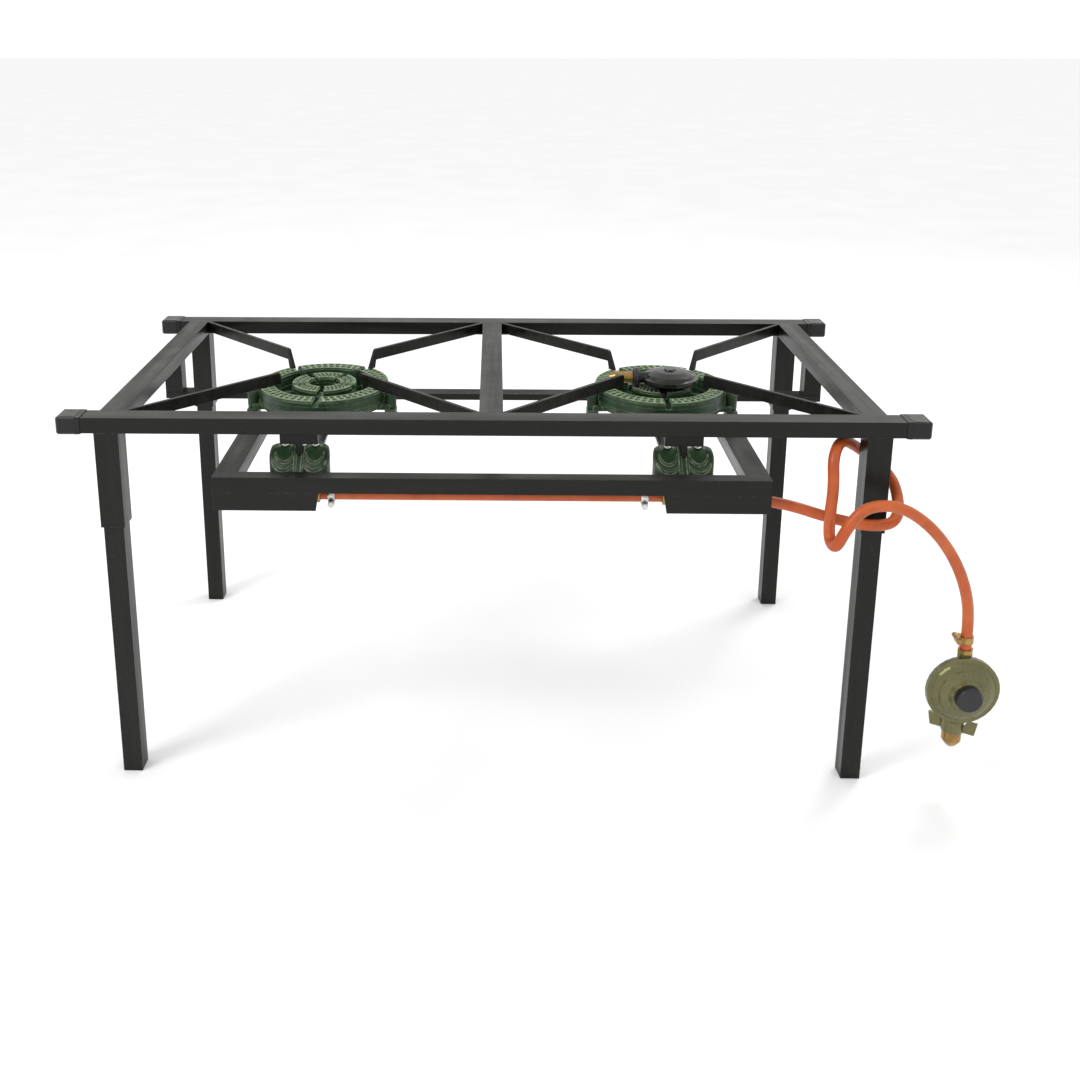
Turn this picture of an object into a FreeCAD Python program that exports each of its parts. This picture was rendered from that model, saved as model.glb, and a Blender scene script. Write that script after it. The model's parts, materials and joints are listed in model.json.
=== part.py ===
import FreeCAD, Part
import math
import os

# Stock pot range: a low two-burner gas boiling table with plug-in legs, its gas hose and regulator.
# Millimetres. +Z up, +Y to the back, the origin on the floor under the middle of the frame.

# ---- driving dimensions ------------------------------------------------------------------------

# Top frame
frame_length = 1070.0           # over the end caps
frame_depth = 510.0             # front face of the front rail to back face of the back rail
frame_top = 495.0               # height of the pot rest plane
rail_width = 30.0
rail_height = 20.0
rail_wall = 1.5
side_overhang = 61.0            # from a cap's end face to the middle of the side rail, sleeves and legs
carrier_overhang = 19.5         # the burner carrier stands this far in front of the front rail

# Sides of the many-sided forms that stand for round ones
large_sides = 30                # ring heads, castings and regulator shells
small_sides = 16                # knobs, nuts and fittings
bar_sides = 12                  # hoses, bolts, tubes and barbs

# End caps pushed over the rails
cap_wall = 1.5
cap_end_wall = 2.0
cap_length = 30.0
cap_skirt = 6.0
cap_corner = 2.2

# Legs
sleeve_size = 30.0
sleeve_wall = 2.0
sleeve_length = 125.0
leg_clearance = 0.5             # each side, between leg and sleeve
leg_wall = 1.5

# Flat bars that carry the pot
bar_height = 16.0
bar_thickness = 5.0
front_bar_tip = 80.0            # from the middle of the bay to the free end
back_bar_knee = 90.0            # from the middle of the bay to the top of the turned-down end
back_bar_bend = 4.0
back_foot_near = 78.5           # the turned-down end leans in and stands on the outer ring
back_foot_far = 88.5
back_foot_root = 91.0           # where its far edge leaves the bar

# Burner carrier
carrier_drop = 69.0             # from the pot rest plane down to the top of the carrier
carrier_margin = 6.0            # from the outermost burner bolt to the carrier's side
carrier_tube = 20.0
carrier_wall = 1.5
carrier_side_width = 29.0
cross_rail_reach = 17.5         # from the middle of a burner forward to the back of the cross rail
strap_width = 20.0
rear_bar_reach = 71.0           # from the middle of a burner back to the rear cross bar
rear_bar_depth = 26.0
rear_bar_height = 9.0
hanger_size = 25.0
hanger_outset = 2.0             # outside the middle of the side rail
guard_reach = 29.0              # from the middle of a tap to the inner end of its guard
guard_drop = 23.0
guard_plate = 3.0
guard_slant = 4.0
guard_return = 18.0

# Burners
burner_outset = 2.0             # outside the middle of the bay
burner_forward = 8.0            # in front of the middle of the bay
burner_drop = 28.0              # from the pot rest plane down to the ring heads
ring_outer = 92.0
ring_inner = 70.0
core_outer = 46.0
core_inner = 22.0
head_height = 18.0
head_chamfer = 3.0
trough_depth = 8.0              # straight part of the casting under the heads
casting_gap = 4.0               # between the carrier's top and the underside of the casting
notch_width = 7.0
notch_depth = 9.0
arm_width = 14.0
arm_angles = (-90.0, -18.0, 54.0, 126.0, 198.0)
post_radius = 5.0
post_ring = 64.0
post_rise = 3.0                 # above the ring heads
lug_offset = 97.0
lug_radius = 8.0
lug_drop = 3.0                  # below the ring heads
bolt_clearance = 0.3            # radial, round the bolts
foot_width = 22.0
foot_tip = 16.0

# Mixing tubes and mixers
neck_radius = 12.5
neck_spread = 12.0              # the two tubes are cast together
neck_lift = 10.0                # from the carrier's top to the tubes' axes at the mixer
neck_rise = 5.0
mixer_gap = 6.5                 # between the carrier's front tube and the mixer
mixer_hang = 11.0               # below the carrier's top
mixer_height = 34.0
lobe_radius = 19.0
mixer_deck = 10.0               # flat landing for the bolts
mixer_wall = 4.0
rib_width = 16.0
rib_rise = 4.0
rib_groove = 8.0
mouth_radius = 7.0

# Gas taps, hoses
gas_outset = 1.0                # outside the middle of the burner
gas_setback = 17.5              # behind the carrier's front tube
gas_drop = 16.0                 # under the carrier's front tube
tap_size = 16.0
tap_half = 26.0
barb_radius = 4.0
barb_length = 24.0
hose_radius = 7.0
hose_fit = 0.3                  # radial, between barb and hose
jet_radius = 4.5
jet_forward = 1.0               # in front of the gas line
jet_insert = 6.0                # up into the mixer
jet_tip = 6.0                   # length of the jet's cone
knob_radius = 12.0
knob_height = 6.0
spindle_radius = 3.0
turn_fit = 0.05                 # radial, for what turns on a spindle
end_play = 0.5                  # axial, for what turns on a spindle
clamp_width = 9.0
clamp_band = 1.4
clamp_box = 14.0                # across the hose, the screw's housing
clamp_box_height = 7.0
clamp_screw_radius = 3.5
clamp_screw_length = 20.0
clamp_near = 14.0               # from the end face that a barb stands on to the middle of its clamp
clamp_far = 22.0                # the same at the right end of the short hose

# Hanging regulator: its axis points to the front
reg_outset = 126.0              # outside the middle of the side rail
reg_forward = 15.0              # in front of the front rail
reg_drop = 352.0                # from the pot rest plane down to its axis
reg_radius = 46.0
reg_flange = 3.5
reg_dome = 20.0                 # depth of the front shell
reg_back = 18.0                 # depth of the back shell
reg_cap_radius = 16.5
reg_cap_depth = 8.0
nozzle_right = 2.0              # the nozzle from the regulator's centre
nozzle_behind = 9.0
nozzle_rise = 54.0
inlet_left = 3.0                # the inlet from the regulator's centre
inlet_behind = 11.0
stem_radius = 7.0
nose_radius = 12.0
nose_drop = 64.0                # from the regulator's axis down to the nose's shoulder
nose_length = 22.0
wing_span = 60.0
wing_plate = 4.0
wing_turn = 31.0

# Spare regulator, lying on the right burner: its axis points up
spare_right = 11.0              # from the middle of the burner
spare_forward = 17.0
spare_radius = 40.0
spare_height = 27.0
spare_axis_rise = 14.0          # its inlet above the ring heads
spare_wheel_radius = 13.5
spare_wheel_width = 9.0
spare_wheel_reach = 47.0        # from its axis to its wheel
spare_stem_radius = 4.5
spare_tip_reach = 85.0          # from its axis to the tip of the inlet

# Route of the supply hose, once round the leg sleeve, from the point where the middle of the side
# rail meets the front rail's face at the pot rest plane
hose_step = 12.0                # greatest turn of one facet, in degrees
hose_run_out = 46.0             # straight out of the right tap
hose_run_in = 32.0              # straight down onto the regulator's nozzle
hose_route = [
    (-106, 11, -111), (-56, -1, -124), (-6, -17, -129), (27, -13, -123), (33, 24, -93), (25, 50, -79),
    (-12, 46, -48), (-42, 20, -28), (-57, -2, -43), (-56.5, -13, -78), (-60, -18, -111), (-60.5, -22, -143),
    (-59, -47, -145), (-49, -49, -119), (-32, -46, -95), (-8, -44, -88), (20, -42, -93), (52, -36, -115),
    (80, -29, -146), (103, -23, -183), (119, -17, -224)]

# ---- values worked out from them ---------------------------------------------------------------

side_rail_x = frame_length / 2 - side_overhang
rail_end = frame_length / 2 - cap_end_wall
rail_bottom = frame_top - rail_height
depth_shift = carrier_overhang / 2 - cap_wall / 2
front_face = -frame_depth / 2 + depth_shift
back_face = frame_depth / 2 + depth_shift
front_inner = front_face + rail_width
back_inner = back_face - rail_width
front_line = front_face + rail_width / 2
back_line = back_face - rail_width / 2
leg_size = sleeve_size - 2 * sleeve_wall - 2 * leg_clearance
sleeve_bottom = rail_bottom - sleeve_length
bay_near = rail_width / 2
bay_far = side_rail_x - rail_width / 2
bay_x = (bay_near + bay_far) / 2
bay_y = (front_inner + back_inner) / 2
burner_x = bay_x + burner_outset
burner_y = bay_y - burner_forward
burner_top = frame_top - burner_drop
carrier_half = burner_x + lug_offset + carrier_margin
carrier_top = frame_top - carrier_drop
carrier_front = front_face - carrier_overhang
carrier_bottom = carrier_top - carrier_tube
carrier_back = carrier_front + carrier_tube
cross_rail_back = burner_y - cross_rail_reach
cross_rail_front = cross_rail_back - carrier_tube
cross_rail_line = (cross_rail_front + cross_rail_back) / 2
rear_bar_front = burner_y + rear_bar_reach
rear_bar_top = carrier_top
rear_bar_bottom = rear_bar_top - rear_bar_height
rear_bar_back = rear_bar_front + rear_bar_depth
rear_bar_line = (rear_bar_front + rear_bar_back) / 2
hanger_x = side_rail_x + hanger_outset
head_bottom = burner_top - head_height
trough_bottom = head_bottom - trough_depth
casting_bottom = carrier_top + casting_gap
lug_top = burner_top - lug_drop
neck_start = carrier_top + neck_lift
mixer_front = carrier_back + mixer_gap
mixer_back = mixer_front + 2 * lobe_radius
mixer_line = (mixer_front + mixer_back) / 2
mixer_bottom = carrier_top - mixer_hang
mixer_top = mixer_bottom + mixer_height
deck_edge = mixer_back - mixer_deck
lip_z = mixer_top - (deck_edge - mixer_front)
gas_x = burner_x + gas_outset
gas_y = carrier_back + gas_setback
gas_z = carrier_bottom - gas_drop
jet_y = gas_y - jet_forward
jet_top = mixer_bottom + jet_insert
guard_inner = gas_x - guard_reach
reg_x = side_rail_x + reg_outset
reg_y = front_face - reg_forward
reg_z = frame_top - reg_drop
nozzle_x = reg_x + nozzle_right
nozzle_y = reg_y + nozzle_behind
nozzle_z = reg_z + nozzle_rise
inlet_x = reg_x - inlet_left
inlet_y = reg_y + inlet_behind
nose_top = reg_z - nose_drop
nose_bottom = nose_top - nose_length
spare_x = burner_x + spare_right
spare_y = burner_y - spare_forward
spare_axis_z = burner_top + spare_axis_rise
spare_wheel_x = spare_x - spare_wheel_reach
spare_tip_x = spare_x - spare_tip_reach
hose_points = [(gas_x + tap_half, gas_y, gas_z), (gas_x + tap_half + hose_run_out, gas_y, gas_z)]
hose_points += [(side_rail_x + dx, front_face + dy, frame_top + dz) for dx, dy, dz in hose_route]
hose_points += [(nozzle_x, nozzle_y, nozzle_z + hose_run_in), (nozzle_x, nozzle_y, nozzle_z)]

SIDES = (("left", -1), ("right", 1))
os.makedirs("parts", exist_ok=True)
Vec = FreeCAD.Vector
X_AXIS = Vec(1, 0, 0)
Y_AXIS = Vec(0, 1, 0)
Z_AXIS = Vec(0, 0, 1)


# ---- helpers -----------------------------------------------------------------------------------

def save(name, *solids):
    """Write the solids of one sub-part as one file."""
    shape = solids[0] if len(solids) == 1 else Part.makeCompound(list(solids))
    shape.exportStep("parts/" + name + ".step")


def block(x0, x1, y0, y1, z0, z1):
    """A box between two corners."""
    return Part.makeBox(x1 - x0, y1 - y0, z1 - z0, Vec(x0, y0, z0))


def round_bar(radius, start, length, axis=Z_AXIS):
    """A cylinder from a start point along an axis."""
    return Part.makeCylinder(radius, length, Vec(*start), axis)


def corners_round(radius, sides, height=0.0):
    """The corners of a regular polygon round the Z axis."""
    turns = [2 * math.pi * i / sides for i in range(sides)]
    return [Vec(radius * math.cos(a), radius * math.sin(a), height) for a in turns]


def flat_face(corners):
    """The flat face between its corners."""
    return Part.Face(Part.makePolygon(corners + corners[:1]))


def closed_solid(faces):
    """The solid inside a closed skin of faces."""
    solid = Part.Solid(Part.Shell(faces))
    if solid.Volume < 0:
        solid.reverse()
    return solid


def sided_bar(radius, start, length, axis=Z_AXIS, sides=bar_sides):
    """A many-sided prism from a start point along an axis, its corners on the given radius."""
    prism = flat_face(corners_round(radius, sides)).extrude(Vec(0, 0, length))
    prism.Placement = FreeCAD.Placement(Vec(*start), FreeCAD.Rotation(Z_AXIS, axis))
    return prism


def hexagon(across, start, length, axis=Z_AXIS):
    """A hexagonal prism with the given width across flats."""
    return sided_bar(across / math.sqrt(3), start, length, axis, 6)


def tube_x(x0, x1, y0, y1, z0, z1, wall):
    """A rectangular tube along X."""
    bore = block(x0, x1, y0 + wall, y1 - wall, z0 + wall, z1 - wall)
    return block(x0, x1, y0, y1, z0, z1).cut(bore)


def tube_y(x0, x1, y0, y1, z0, z1, wall):
    """A rectangular tube along Y."""
    bore = block(x0 + wall, x1 - wall, y0, y1, z0 + wall, z1 - wall)
    return block(x0, x1, y0, y1, z0, z1).cut(bore)


def tube_z(x, y, size, z0, z1, wall):
    """A square tube along Z."""
    half = size / 2
    inner = half - wall
    bore = block(x - inner, x + inner, y - inner, y + inner, z0, z1)
    return block(x - half, x + half, y - half, y + half, z0, z1).cut(bore)


def turned(profile, centre, axis=Z_AXIS, sides=small_sides):
    """A closed profile of (radius, height) points carried round an axis in flat facets."""
    faces = []
    for (r0, h0), (r1, h1) in zip(profile, profile[1:] + profile[:1]):
        low = corners_round(r0, sides, h0)
        high = corners_round(r1, sides, h1)
        for i in range(sides if r0 + r1 > 0 else 0):
            j = (i + 1) % sides
            corners = [low[i], low[j], high[j], high[i]] if r0 > 0 else [low[i], high[j], high[i]]
            if r1 == 0:
                corners = corners[:3]
            faces.append(flat_face(corners))
    solid = closed_solid(faces).removeSplitter()
    solid.Placement = FreeCAD.Placement(Vec(*centre), FreeCAD.Rotation(Z_AXIS, axis))
    return solid


def prism_x(profile, x0, x1):
    """A closed profile of (y, z) points extruded along X."""
    points = [Vec(x0, y, z) for y, z in profile]
    return Part.Face(Part.makePolygon(points + points[:1])).extrude(Vec(x1 - x0, 0, 0))


def prism_y(profile, y0, y1):
    """A closed profile of (x, z) points extruded along Y."""
    points = [Vec(x, y0, z) for x, z in profile]
    return Part.Face(Part.makePolygon(points + points[:1])).extrude(Vec(0, y1 - y0, 0))


def spin(shape, angle, x, y):
    """A copy turned about the vertical line through (x, y)."""
    copy = shape.copy()
    copy.rotate(Vec(x, y, 0), Z_AXIS, angle)
    return copy


def span(side, near, far):
    """The low and high X of something on one side of the frame."""
    return (near, far) if side > 0 else (-far, -near)


# ---- top frame ---------------------------------------------------------------------------------

def top_frame():
    """Front and back rails run through, the three others fit between them."""
    levels = (rail_bottom, frame_top, rail_wall)
    save("front_rail", tube_x(-rail_end, rail_end, front_face, front_inner, *levels))
    save("back_rail", tube_x(-rail_end, rail_end, back_inner, back_face, *levels))
    for name, x in (("left_rail", -side_rail_x), ("centre_rail", 0), ("right_rail", side_rail_x)):
        half = rail_width / 2
        save(name, tube_y(x - half, x + half, front_inner, back_inner, *levels))


def end_cap(side, y_line):
    """A cap over a rail's end: bevelled outer corners and a skirt that thins towards its lip."""
    end = frame_length / 2
    lip = end - cap_length
    half_y = rail_width / 2 + cap_wall
    z_middle = (rail_bottom + frame_top) / 2
    half_z = rail_height / 2 + cap_wall
    body = block(lip + cap_skirt, end, -half_y, half_y, -half_z, half_z)
    outer = [edge for edge in body.Edges
             if edge.BoundBox.XLength > 1 or edge.BoundBox.XMin > end - 0.01]
    body = body.makeChamfer(cap_corner, outer)
    thin = cap_wall / 2
    rings = [rectangle_at(lip, half_y - thin, half_z - thin),
             rectangle_at(lip + cap_skirt, half_y - thin / 2, half_z - thin / 2)]
    body = body.fuse(Part.makeLoft(rings, True, True))
    bore = block(lip, rail_end, -rail_width / 2, rail_width / 2, -rail_height / 2, rail_height / 2)
    cap = body.cut(bore)
    if side < 0:
        cap = cap.mirror(Vec(0, 0, 0), X_AXIS)
    cap.translate(Vec(0, y_line, z_middle))
    return cap


def rectangle_at(x, half_y, half_z):
    """A closed rectangle across the X axis."""
    corners = [Vec(x, -half_y, -half_z), Vec(x, half_y, -half_z), Vec(x, half_y, half_z),
               Vec(x, -half_y, half_z)]
    return Part.makePolygon(corners + corners[:1])


def end_caps():
    save("rail_end_caps", *[end_cap(side, y) for y in (front_line, back_line) for _, side in SIDES])


def legs():
    """Four sleeves welded under the rails, each with a leg plugged in up to the rail."""
    for row, y in (("front", front_line), ("back", back_line)):
        for name, side in SIDES:
            x = side * side_rail_x
            sleeve = tube_z(x, y, sleeve_size, sleeve_bottom, rail_bottom, sleeve_wall)
            save(f"leg_sleeve_{row}_{name}", sleeve)
            save(f"leg_{row}_{name}", tube_z(x, y, leg_size, 0, rail_bottom, leg_wall))


# ---- pot bars ----------------------------------------------------------------------------------

def bay_block(side):
    """The space between the rails of one bay."""
    x0, x1 = span(side, bay_near, bay_far)
    return block(x0, x1, front_inner, back_inner, 0, frame_top)


def front_bar(side, angle):
    """A straight bar on edge from a bay's front corner to its free end over the burner."""
    reach = bay_far - bay_near
    half = bar_thickness / 2
    bar = block(front_bar_tip, reach, -half, half, frame_top - bar_height, frame_top)
    tip = [edge for edge in bar.Edges
           if edge.BoundBox.XMax < front_bar_tip + 0.01 and edge.BoundBox.YLength > 1
           and edge.BoundBox.ZMin > frame_top - 1]
    return seat_bar(bar.makeFillet(bar_height / 4, tip), side, angle)


def back_bar(side, angle):
    """A bar whose inner end turns down, leans in and stands on the outer ring of the burner."""
    reach = bay_far - bay_near
    under = frame_top - bar_height
    outline = [(back_bar_knee, frame_top), (reach, frame_top), (reach, under), (back_foot_root, under),
               (back_foot_far, burner_top), (back_foot_near, burner_top)]
    bar = prism_y(outline, -bar_thickness / 2, bar_thickness / 2)
    bend = [edge for edge in bar.Edges
            if abs(edge.BoundBox.XMax - back_bar_knee) < 0.01 and edge.BoundBox.XLength < 0.01]
    return seat_bar(bar.makeFillet(back_bar_bend, bend), side, angle)


def seat_bar(bar, side, angle):
    """Turn a bar into its corner and trim it to the rails that it is welded to."""
    bar.rotate(Vec(0, 0, 0), Z_AXIS, angle)
    bar.translate(Vec(side * bay_x, bay_y, 0))
    return bar.common(bay_block(side))


def pot_bars():
    spread = math.degrees(math.atan2(back_inner - front_inner, bay_far - bay_near))
    for name, side in SIDES:
        outer = 0 if side > 0 else 180
        for label, front, back in (("outer", outer - side * spread, outer + side * spread),
                                   ("inner", 180 - outer + side * spread, 180 - outer - side * spread)):
            save(f"pot_bar_{name}_front_{label}", front_bar(side, front))
            save(f"pot_bar_{name}_back_{label}", back_bar(side, back))


# ---- burner carrier ----------------------------------------------------------------------------

def carrier():
    """The frame under the burners, tied to the back of the top frame by the rear cross bar."""
    half = carrier_half
    levels = (carrier_bottom, carrier_top, carrier_wall)
    save("carrier_front_rail", tube_x(-half, half, carrier_front, carrier_back, *levels))
    cross = tube_x(-half, half, cross_rail_front, cross_rail_back, *levels)
    for _, side in SIDES:
        for offset in (-lug_offset, lug_offset):
            x = side * burner_x + offset
            cross = cross.cut(sided_bar(bolt_radius() + bolt_clearance, (x, cross_rail_line, 0), frame_top))
    save("burner_cross_rail", cross)
    save("rear_cross_bar", tube_x(-hanger_x - hanger_size / 2, hanger_x + hanger_size / 2,
                                  rear_bar_front, rear_bar_back, rear_bar_bottom, rear_bar_top, carrier_wall))
    for name, side in SIDES:
        x0, x1 = span(side, half - carrier_side_width, half)
        save("carrier_side_" + name, tube_y(x0, x1, carrier_back, cross_rail_front, *levels))
        x0 = side * burner_x - strap_width / 2
        strap = tube_y(x0, x0 + strap_width, cross_rail_back, rear_bar_back,
                       carrier_bottom, rear_bar_bottom, carrier_wall)
        save("burner_strap_" + name, strap)
        save("rear_hanger_" + name,
             tube_z(side * hanger_x, rear_bar_line, hanger_size, rear_bar_top, rail_bottom, carrier_wall))
        save("valve_guard_" + name, valve_guard(side))


def valve_guard(side):
    """A plate under the front rail that hides a tap, with a slanted end and a short return."""
    top = carrier_bottom
    low = carrier_bottom - guard_drop
    front = [(guard_inner + guard_slant, low), (carrier_half, low), (carrier_half, top), (guard_inner, top)]
    plate = prism_y([(side * x, z) for x, z in front], carrier_front, carrier_front + guard_plate)
    x0, x1 = span(side, carrier_half - guard_plate, carrier_half)
    return plate.fuse(block(x0, x1, carrier_front, carrier_front + guard_return, low, top)).removeSplitter()


# ---- burners -----------------------------------------------------------------------------------

def bolt_radius():
    """Radius of the bolts that hold the burners."""
    return lug_radius / 2


def burner_body(x):
    """The casting: two troughs joined by five arms, lugs and a rear foot, and its mixing tubes."""
    skirt = ring_outer - 30
    outer = [(ring_inner, head_bottom), (ring_inner, casting_bottom + 4), (skirt + 14, casting_bottom + 4),
             (ring_outer, trough_bottom), (ring_outer, head_bottom)]
    inner = [(core_inner, head_bottom), (core_inner, casting_bottom), (core_outer - 5, casting_bottom),
             (core_outer, trough_bottom), (core_outer, head_bottom)]
    floor = casting_bottom + 3
    centre = (x, burner_y, 0)
    body = turned(outer, centre, Z_AXIS, large_sides).fuse(turned(inner, centre, Z_AXIS, large_sides))
    body = body.fuse(sided_bar(core_inner + 2, (x, burner_y, casting_bottom), 4, Z_AXIS, large_sides))
    arms = []
    for angle in arm_angles:
        width = 2 * arm_width if angle == -90 else arm_width
        arm = block(x + core_outer - 6, x + ring_inner + 6, burner_y - width / 2, burner_y + width / 2,
                    floor + 1.5, head_bottom - 4)
        arms.append(spin(arm, angle, x, burner_y))
    for angle in arm_angles[2:4]:
        post = sided_bar(post_radius, (x + post_ring, burner_y, trough_bottom),
                         burner_top + post_rise - trough_bottom)
        arms.append(spin(post, angle, x, burner_y))
    lugs = [burner_lug(x, offset) for offset in (-lug_offset, lug_offset)]
    rear = prism_y([(x - foot_width / 2, trough_bottom), (x - foot_tip / 2, rear_bar_top),
                    (x + foot_tip / 2, rear_bar_top), (x + foot_width / 2, trough_bottom)],
                   rear_bar_front + 1, rear_bar_front + 20)
    body = body.multiFuse(arms + lugs + [rear])
    return body.fuse(mixing_tubes(x)).removeSplitter()


def burner_lug(x, offset):
    """A side lug: a ledge from the trough, a tapered foot on the cross rail and a boss for the bolt."""
    middle = x + offset
    reach = math.copysign(ring_outer - 14, offset)
    ledge_low = trough_bottom - 4
    near = cross_rail_line - foot_width / 2
    far = cross_rail_line + foot_width / 2
    ledge = block(min(x + reach, middle), max(x + reach, middle), near, far, ledge_low, trough_bottom + 3)
    tip = foot_tip / 2
    foot = prism_x([(cross_rail_line - tip, carrier_top), (cross_rail_line + tip, carrier_top),
                    (far, ledge_low), (near, ledge_low)], middle - lug_radius, middle + lug_radius)
    boss = sided_bar(lug_radius, (middle, cross_rail_line, ledge_low), lug_top - ledge_low)
    hole = sided_bar(bolt_radius() + bolt_clearance, (middle, cross_rail_line, carrier_top), lug_top)
    return boss.multiFuse([ledge, foot]).cut(hole)


def mixing_tubes(x):
    """Two tubes side by side that carry the mixture from the mixer up into the outer trough."""
    end = burner_y - (ring_outer + ring_inner) / 2
    run = Vec(0, end - mixer_back, neck_rise)
    pipes = [sided_bar(neck_radius, (x + offset, mixer_back, neck_start), run.Length, run)
             for offset in (-neck_spread, neck_spread)]
    pair = pipes[0].fuse(pipes[1])
    pair = pair.cut(block(x - 60, x + 60, mixer_front, mixer_back, mixer_bottom, frame_top))
    return pair.cut(sided_bar(ring_outer, (x, burner_y, head_bottom), head_height, Z_AXIS, large_sides))


def ring_head(x, outside, inside):
    """A ported ring head with chamfered edges and five notches over the arms."""
    c = head_chamfer
    profile = [(inside, head_bottom), (outside, head_bottom), (outside, burner_top - c),
               (outside - c, burner_top), (inside + c, burner_top), (inside, burner_top - c)]
    head = turned(profile, (x, burner_y, 0), Z_AXIS, large_sides)
    cuts = []
    for angle in arm_angles:
        notch = block(x + inside - 1, x + outside + 1, burner_y - notch_width / 2, burner_y + notch_width / 2,
                      burner_top - notch_depth, burner_top + 1)
        cuts.append(spin(notch, angle, x, burner_y))
    return head.cut(Part.makeCompound(cuts))


def burner_bolt(x, y, low, high):
    """A bolt with a hexagon head on top and a nut below."""
    shank = sided_bar(bolt_radius(), (x, y, low), high - low)
    head = hexagon(13, (x, y, high), 7)
    nut = hexagon(13, (x, y, low), 5)
    return shank.fuse(head).fuse(nut)


def burners():
    bolts = []
    for name, side in SIDES:
        x = side * burner_x
        save("burner_body_" + name, burner_body(x))
        save("outer_ring_" + name, ring_head(x, ring_outer, ring_inner))
        save("inner_ring_" + name, ring_head(x, core_outer, core_inner))
        bolts.append(hexagon(14, (x, burner_y - 6, casting_bottom + 4), 6))
        for offset in (-lug_offset, lug_offset):
            bolts.append(burner_bolt(x + offset, cross_rail_line, carrier_bottom - 5, lug_top))
    save("burner_bolts", *bolts)


# ---- mixers ------------------------------------------------------------------------------------

def hood_profile(inset):
    """Side view of a mixer: flat landing at the back, slanted deck to the lip at the front."""
    low = mixer_bottom - (1 if inset else 0)
    return [(mixer_front, low), (mixer_back, low), (mixer_back, mixer_top - inset),
            (deck_edge, mixer_top - inset), (mixer_front, lip_z - inset)]


def mixer(x):
    """A twin hood over the two jets, open below, with a grooved rib between its mouths."""
    lobes = [sided_bar(lobe_radius, (x + offset, mixer_line, mixer_bottom), mixer_top, Z_AXIS, 2 * bar_sides)
             for offset in (-lobe_radius, lobe_radius)]
    web = block(x - lobe_radius, x + lobe_radius, mixer_front + 6, mixer_back, mixer_bottom, mixer_top)
    back = block(x - lobe_radius - neck_radius, x + lobe_radius + neck_radius, mixer_back - 9, mixer_back,
                 mixer_bottom, mixer_top)
    outside = prism_x(hood_profile(0), x - 60, x + 60)
    inside = prism_x(hood_profile(mixer_wall), x - 60, x + 60)
    body = lobes[0].multiFuse([lobes[1], web, back]).common(outside)
    for offset in (-lobe_radius, lobe_radius):
        bore = sided_bar(lobe_radius - mixer_wall - 1, (x + offset, mixer_line, mixer_bottom - 1), mixer_top)
        mouth = sided_bar(mouth_radius, (x + offset, jet_y, mixer_bottom - 1), mixer_top)
        body = body.cut(bore.common(inside)).cut(mouth)
    rib = prism_x([(y, z + rib_rise) for y, z in hood_profile(0)[2:]] + [(mixer_front, lip_z - 3),
                                                                         (mixer_back, lip_z - 3)],
                  x - rib_width / 2, x + rib_width / 2)
    groove = prism_x([(y, z + rib_rise + 1) for y, z in hood_profile(0)[2:]] + [(mixer_front, lip_z),
                                                                              (deck_edge, mixer_top),
                                                                              (mixer_back, mixer_top)],
                     x - rib_groove / 2, x + rib_groove / 2)
    return body.fuse(rib).cut(groove).removeSplitter()


def mixer_hanger(x, casting):
    """A plate from the front rail down to the mixer's rib, with a tongue that ends in the groove."""
    y0 = mixer_line - 2
    y1 = mixer_line + 2
    plate = block(x - 24, x + 24, y0, y1, mixer_top + rib_rise + 1, rail_bottom)
    tongue = block(x - rib_groove / 2, x + rib_groove / 2, y0, y1, lip_z, mixer_top + rib_rise + 1)
    return plate.fuse(tongue).cut(casting).removeSplitter()


def mixers():
    for name, side in SIDES:
        x = side * gas_x
        casting = mixer(x)
        hanger = mixer_hanger(x, casting)
        save("mixer_" + name, casting)
        save("mixer_hanger_" + name, hanger)


# ---- taps and hoses ----------------------------------------------------------------------------

def gas_tap(side):
    """A brass tap: block, two jets up into the mixer, barbs to its hoses and a shank to the guard."""
    x = side * gas_x
    half = tap_size / 2
    body = block(x - tap_half, x + tap_half, gas_y - half, gas_y + half, gas_z - half, gas_z + half)
    pieces = []
    for offset in (-lobe_radius, lobe_radius):
        reach = jet_top - gas_z
        profile = [(0, 0), (jet_radius, 0), (jet_radius, reach - jet_tip), (jet_radius / 2, reach),
                   (0, reach)]
        pieces.append(turned(profile, (x + offset, jet_y, gas_z), Z_AXIS, bar_sides))
    inner_face = x - side * tap_half
    pieces.append(sided_bar(barb_radius, (inner_face, gas_y, gas_z), barb_length, Vec(-side, 0, 0)))
    if side > 0:
        pieces.append(sided_bar(barb_radius, (x + tap_half, gas_y, gas_z), barb_length, X_AXIS))
    shank_back = carrier_front + guard_plate
    pieces.append(sided_bar(half - 2, (x, shank_back, gas_z), gas_y - shank_back, Y_AXIS))
    pieces.append(hexagon(tap_size, (x, shank_back, gas_z), 5, Y_AXIS))
    pieces.append(round_bar(spindle_radius, (x, gas_y, gas_z - half - end_play - knob_height), 10))
    return body.multiFuse(pieces).removeSplitter()


def tap_knob(side):
    """A round knob with a grip bar, under the tap."""
    x = side * gas_x
    top = gas_z - tap_size / 2 - end_play
    bevel = knob_height / 5
    disc = turned([(0, 0), (knob_radius - bevel, 0), (knob_radius, bevel), (knob_radius, knob_height - bevel),
                   (knob_radius - bevel, knob_height), (0, knob_height)], (x, gas_y, top - knob_height))
    bottom = top - knob_height - 3
    half = knob_radius - 2
    grip = block(x - half, x + half, gas_y - 2.5, gas_y + 2.5, bottom, top - 1)
    hole = round_bar(spindle_radius + turn_fit, (x, gas_y, top - knob_height), knob_height)
    return disc.fuse(grip).cut(hole)


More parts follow.
